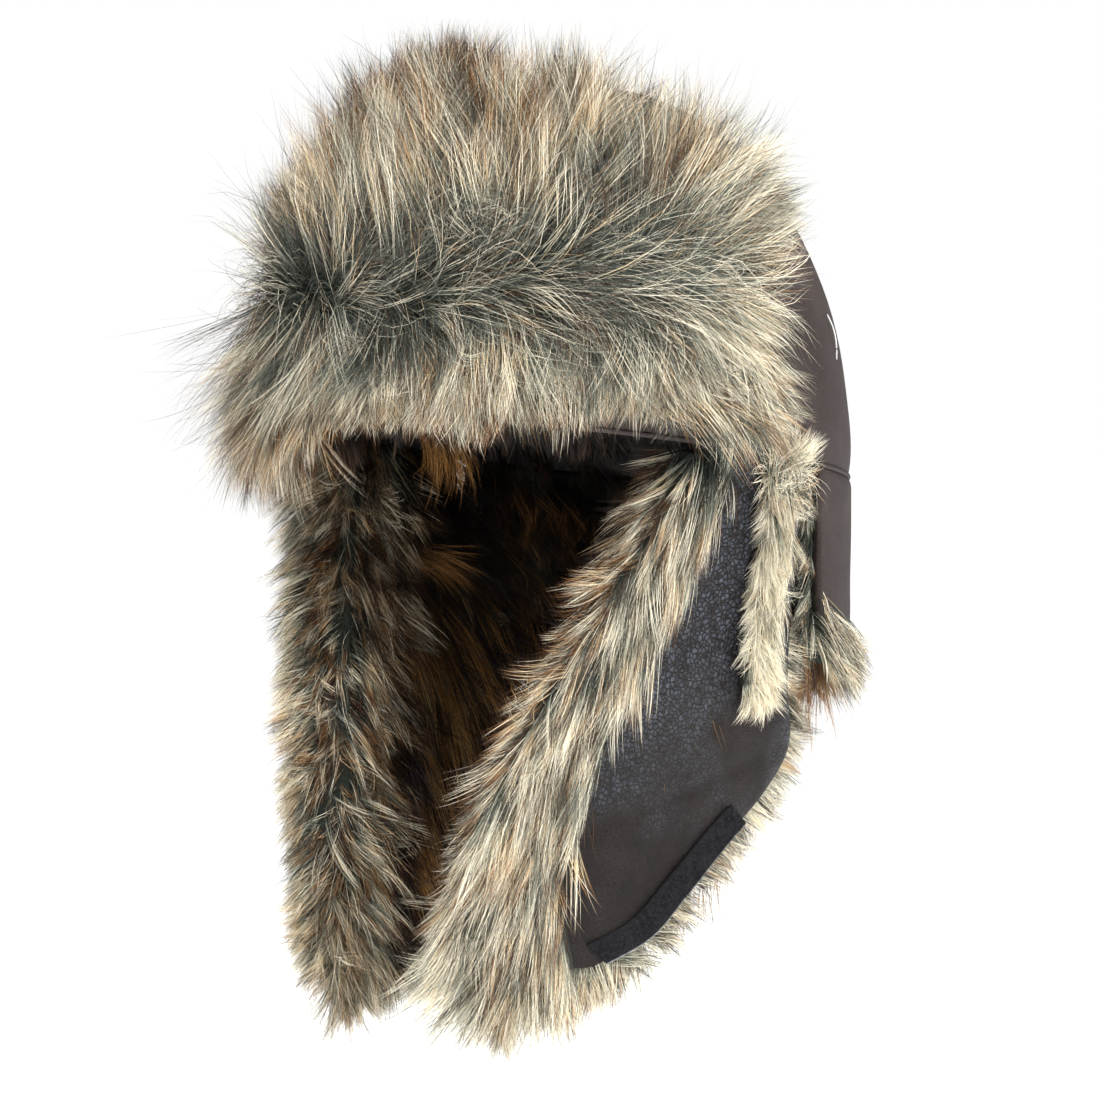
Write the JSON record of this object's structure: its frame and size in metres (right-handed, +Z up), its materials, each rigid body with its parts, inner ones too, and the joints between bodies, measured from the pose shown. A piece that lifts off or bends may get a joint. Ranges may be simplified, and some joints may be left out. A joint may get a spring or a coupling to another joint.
{
  "type": "trapper hat",
  "caption": "Padded leather trapper hat lined with long faux fur, with a turned-up front flap, hinged ear flaps and a neck flap.",
  "frame": {"origin": "centre of the head opening at the level of the crown's rear lower edge", "axes": "+Z up towards the crown's top, -Y the way the face looks, +X towards the wearer's left"},
  "size_m": [0.2206, 0.2553, 0.3525],
  "materials": {
    "brown_leather": "matt brown suede-like leather",
    "crackle_leather": "charcoal brown leather with a crackled sheen",
    "faux_fur": "long pile, sage roots, cream middle, brown tips",
    "lining_fur": "dark brown pile",
    "wadding": "soft white padding",
    "interfacing": "stiff pale felt",
    "closure_tape": "black hook-and-loop tape",
    "sweatband": "black woven band"
  },
  "bodies": {
    "crown": {"crown_gore_front_left": "brown_leather", "crown_gore_front_right": "brown_leather", "crown_gore_rear_left": "brown_leather", "crown_gore_rear_right": "brown_leather", "crown_wadding_front_left": "wadding", "crown_wadding_front_right": "wadding", "crown_wadding_rear_left": "wadding", "crown_wadding_rear_right": "wadding", "crown_lining_front_left": "lining_fur", "crown_lining_front_right": "lining_fur", "crown_lining_rear_left": "lining_fur", "crown_lining_rear_right": "lining_fur", "sweatband": "sweatband"},
    "front_flap": {"front_flap_backing": "brown_leather", "front_flap_interfacing": "interfacing", "front_flap_fur": "faux_fur"},
    "left_ear_flap": {"left_ear_flap_leather": "crackle_leather", "left_ear_flap_wadding": "wadding", "left_ear_flap_fur_lining": "faux_fur", "left_ear_flap_front_trim": "faux_fur", "left_ear_flap_rear_trim": "faux_fur", "left_closure_loop_strip": "closure_tape"},
    "right_ear_flap": {"right_ear_flap_leather": "crackle_leather", "right_ear_flap_wadding": "wadding", "right_ear_flap_fur_lining": "faux_fur", "right_ear_flap_front_trim": "faux_fur", "right_ear_flap_rear_trim": "faux_fur", "right_closure_hook_strip": "closure_tape"},
    "neck_flap": {"neck_flap_leather": "brown_leather", "neck_flap_wadding": "wadding", "neck_flap_fur_lining": "faux_fur"}
  },
  "joints": [
    {"name": "front_flap_fold", "type": "hinge", "parent": "crown", "child": "front_flap", "pos_m": [0, -0.116, 0.0308], "axis": [1, 0, 0], "range_deg": [0, 90]},
    {"name": "left_ear_flap_lift", "type": "hinge", "parent": "crown", "child": "left_ear_flap", "pos_m": [0.0944, 0, 0.0146], "axis": [0, -0.9903, 0.1386], "range_deg": [0, 95]},
    {"name": "right_ear_flap_lift", "type": "hinge", "parent": "crown", "child": "right_ear_flap", "pos_m": [-0.0944, 0, 0.0146], "axis": [0, 0.9903, -0.1386], "range_deg": [0, 95]},
    {"name": "neck_flap_lift", "type": "hinge", "parent": "crown", "child": "neck_flap", "pos_m": [0, 0.1144, -0.0004], "axis": [1, 0, 0], "range_deg": [0, 120]}
  ]
}
